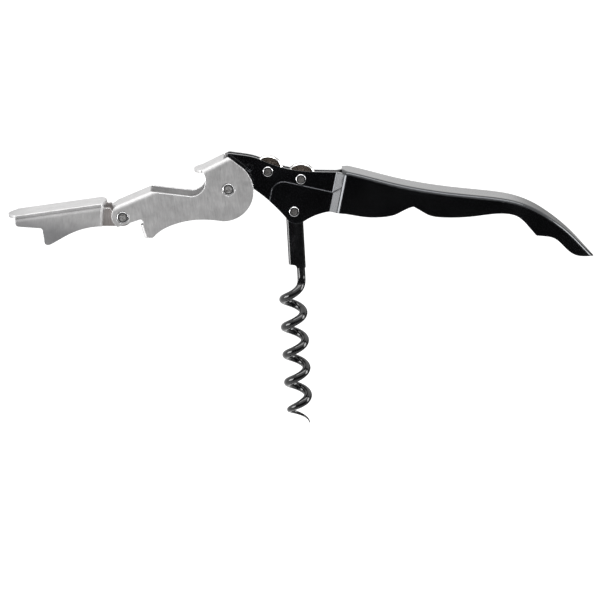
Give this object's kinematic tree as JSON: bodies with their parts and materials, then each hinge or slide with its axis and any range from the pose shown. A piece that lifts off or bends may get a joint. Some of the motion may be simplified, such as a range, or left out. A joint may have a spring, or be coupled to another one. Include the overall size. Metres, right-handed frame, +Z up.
{
  "type": "lever corkscrew",
  "caption": "Double-hinged waiter's corkscrew: folded sheet handle, two-step steel lever with crown-cap mouth, folding worm and foil-cutter wheels.",
  "frame": {"origin": "the worm's tip, in the tool's middle plane, with the tool unfolded", "axes": "+X runs along the handle to its tip, +Y goes through the sheet-metal walls to the far side, +Z is up, away from the bottle"},
  "size_m": [0.1831, 0.0118, 0.0873],
  "materials": {
    "black_paint": "black enamel, semi-gloss",
    "lever_steel": "brushed stainless steel with polished edges",
    "worm_coat": "glossy black low-friction coating",
    "rivet_steel": "bright turned steel",
    "cutter_steel": "grained hardened steel with a ground edge"
  },
  "bodies": {
    "handle": {"handle_shell": "black_paint", "worm_pin": "rivet_steel", "wheel_axle_left": "rivet_steel", "wheel_axle_right": "rivet_steel", "wheel_washer_front_left": "rivet_steel", "wheel_washer_back_left": "rivet_steel", "wheel_washer_front_right": "rivet_steel", "wheel_washer_back_right": "rivet_steel", "pivot_bush": "rivet_steel"},
    "pivot": {"lever_pivot_pin": "rivet_steel", "pivot_spacer_front": "rivet_steel", "pivot_spacer_back": "rivet_steel"},
    "upper_lever": {"lever_upper": "lever_steel", "lever_hinge_pin": "rivet_steel"},
    "end_lever": {"lever_end": "lever_steel"},
    "worm_body": {"worm": "worm_coat"},
    "wheel_left": {"cutter_wheel_left": "cutter_steel"},
    "wheel_right": {"cutter_wheel_right": "cutter_steel"}
  },
  "joints": [
    {"name": "worm_fold", "type": "hinge", "parent": "handle", "child": "worm_body", "pos_m": [-0.00483, 0, 0.06884], "axis": [0, -1, 0], "range_deg": [0, 87]},
    {"name": "lever_stow", "type": "hinge", "parent": "handle", "child": "pivot", "pos_m": [-0.02523, 0, 0.07654], "axis": [0, -1, 0], "range_deg": [0, 68]},
    {"name": "lever_swing", "type": "hinge", "parent": "pivot", "child": "upper_lever", "pos_m": [-0.02523, 0, 0.07654], "axis": [0, -1, 0], "range_deg": [0, 76]},
    {"name": "end_hinge", "type": "hinge", "parent": "upper_lever", "child": "end_lever", "pos_m": [-0.05813, 0, 0.06764], "axis": [0, -1, 0], "range_deg": [-4, 24]},
    {"name": "wheel_left_spin", "type": "hinge", "parent": "handle", "child": "wheel_left", "pos_m": [-0.01303, 0, 0.08149], "axis": [0, -1, 0], "continuous": true},
    {"name": "wheel_right_spin", "type": "hinge", "parent": "handle", "child": "wheel_right", "pos_m": [-0.00273, 0, 0.07909], "axis": [0, -1, 0], "continuous": true}
  ],
  "couplings": [
    {"joint": "worm_fold", "follows": "lever_stow", "ratio": 1.279}
  ]
}
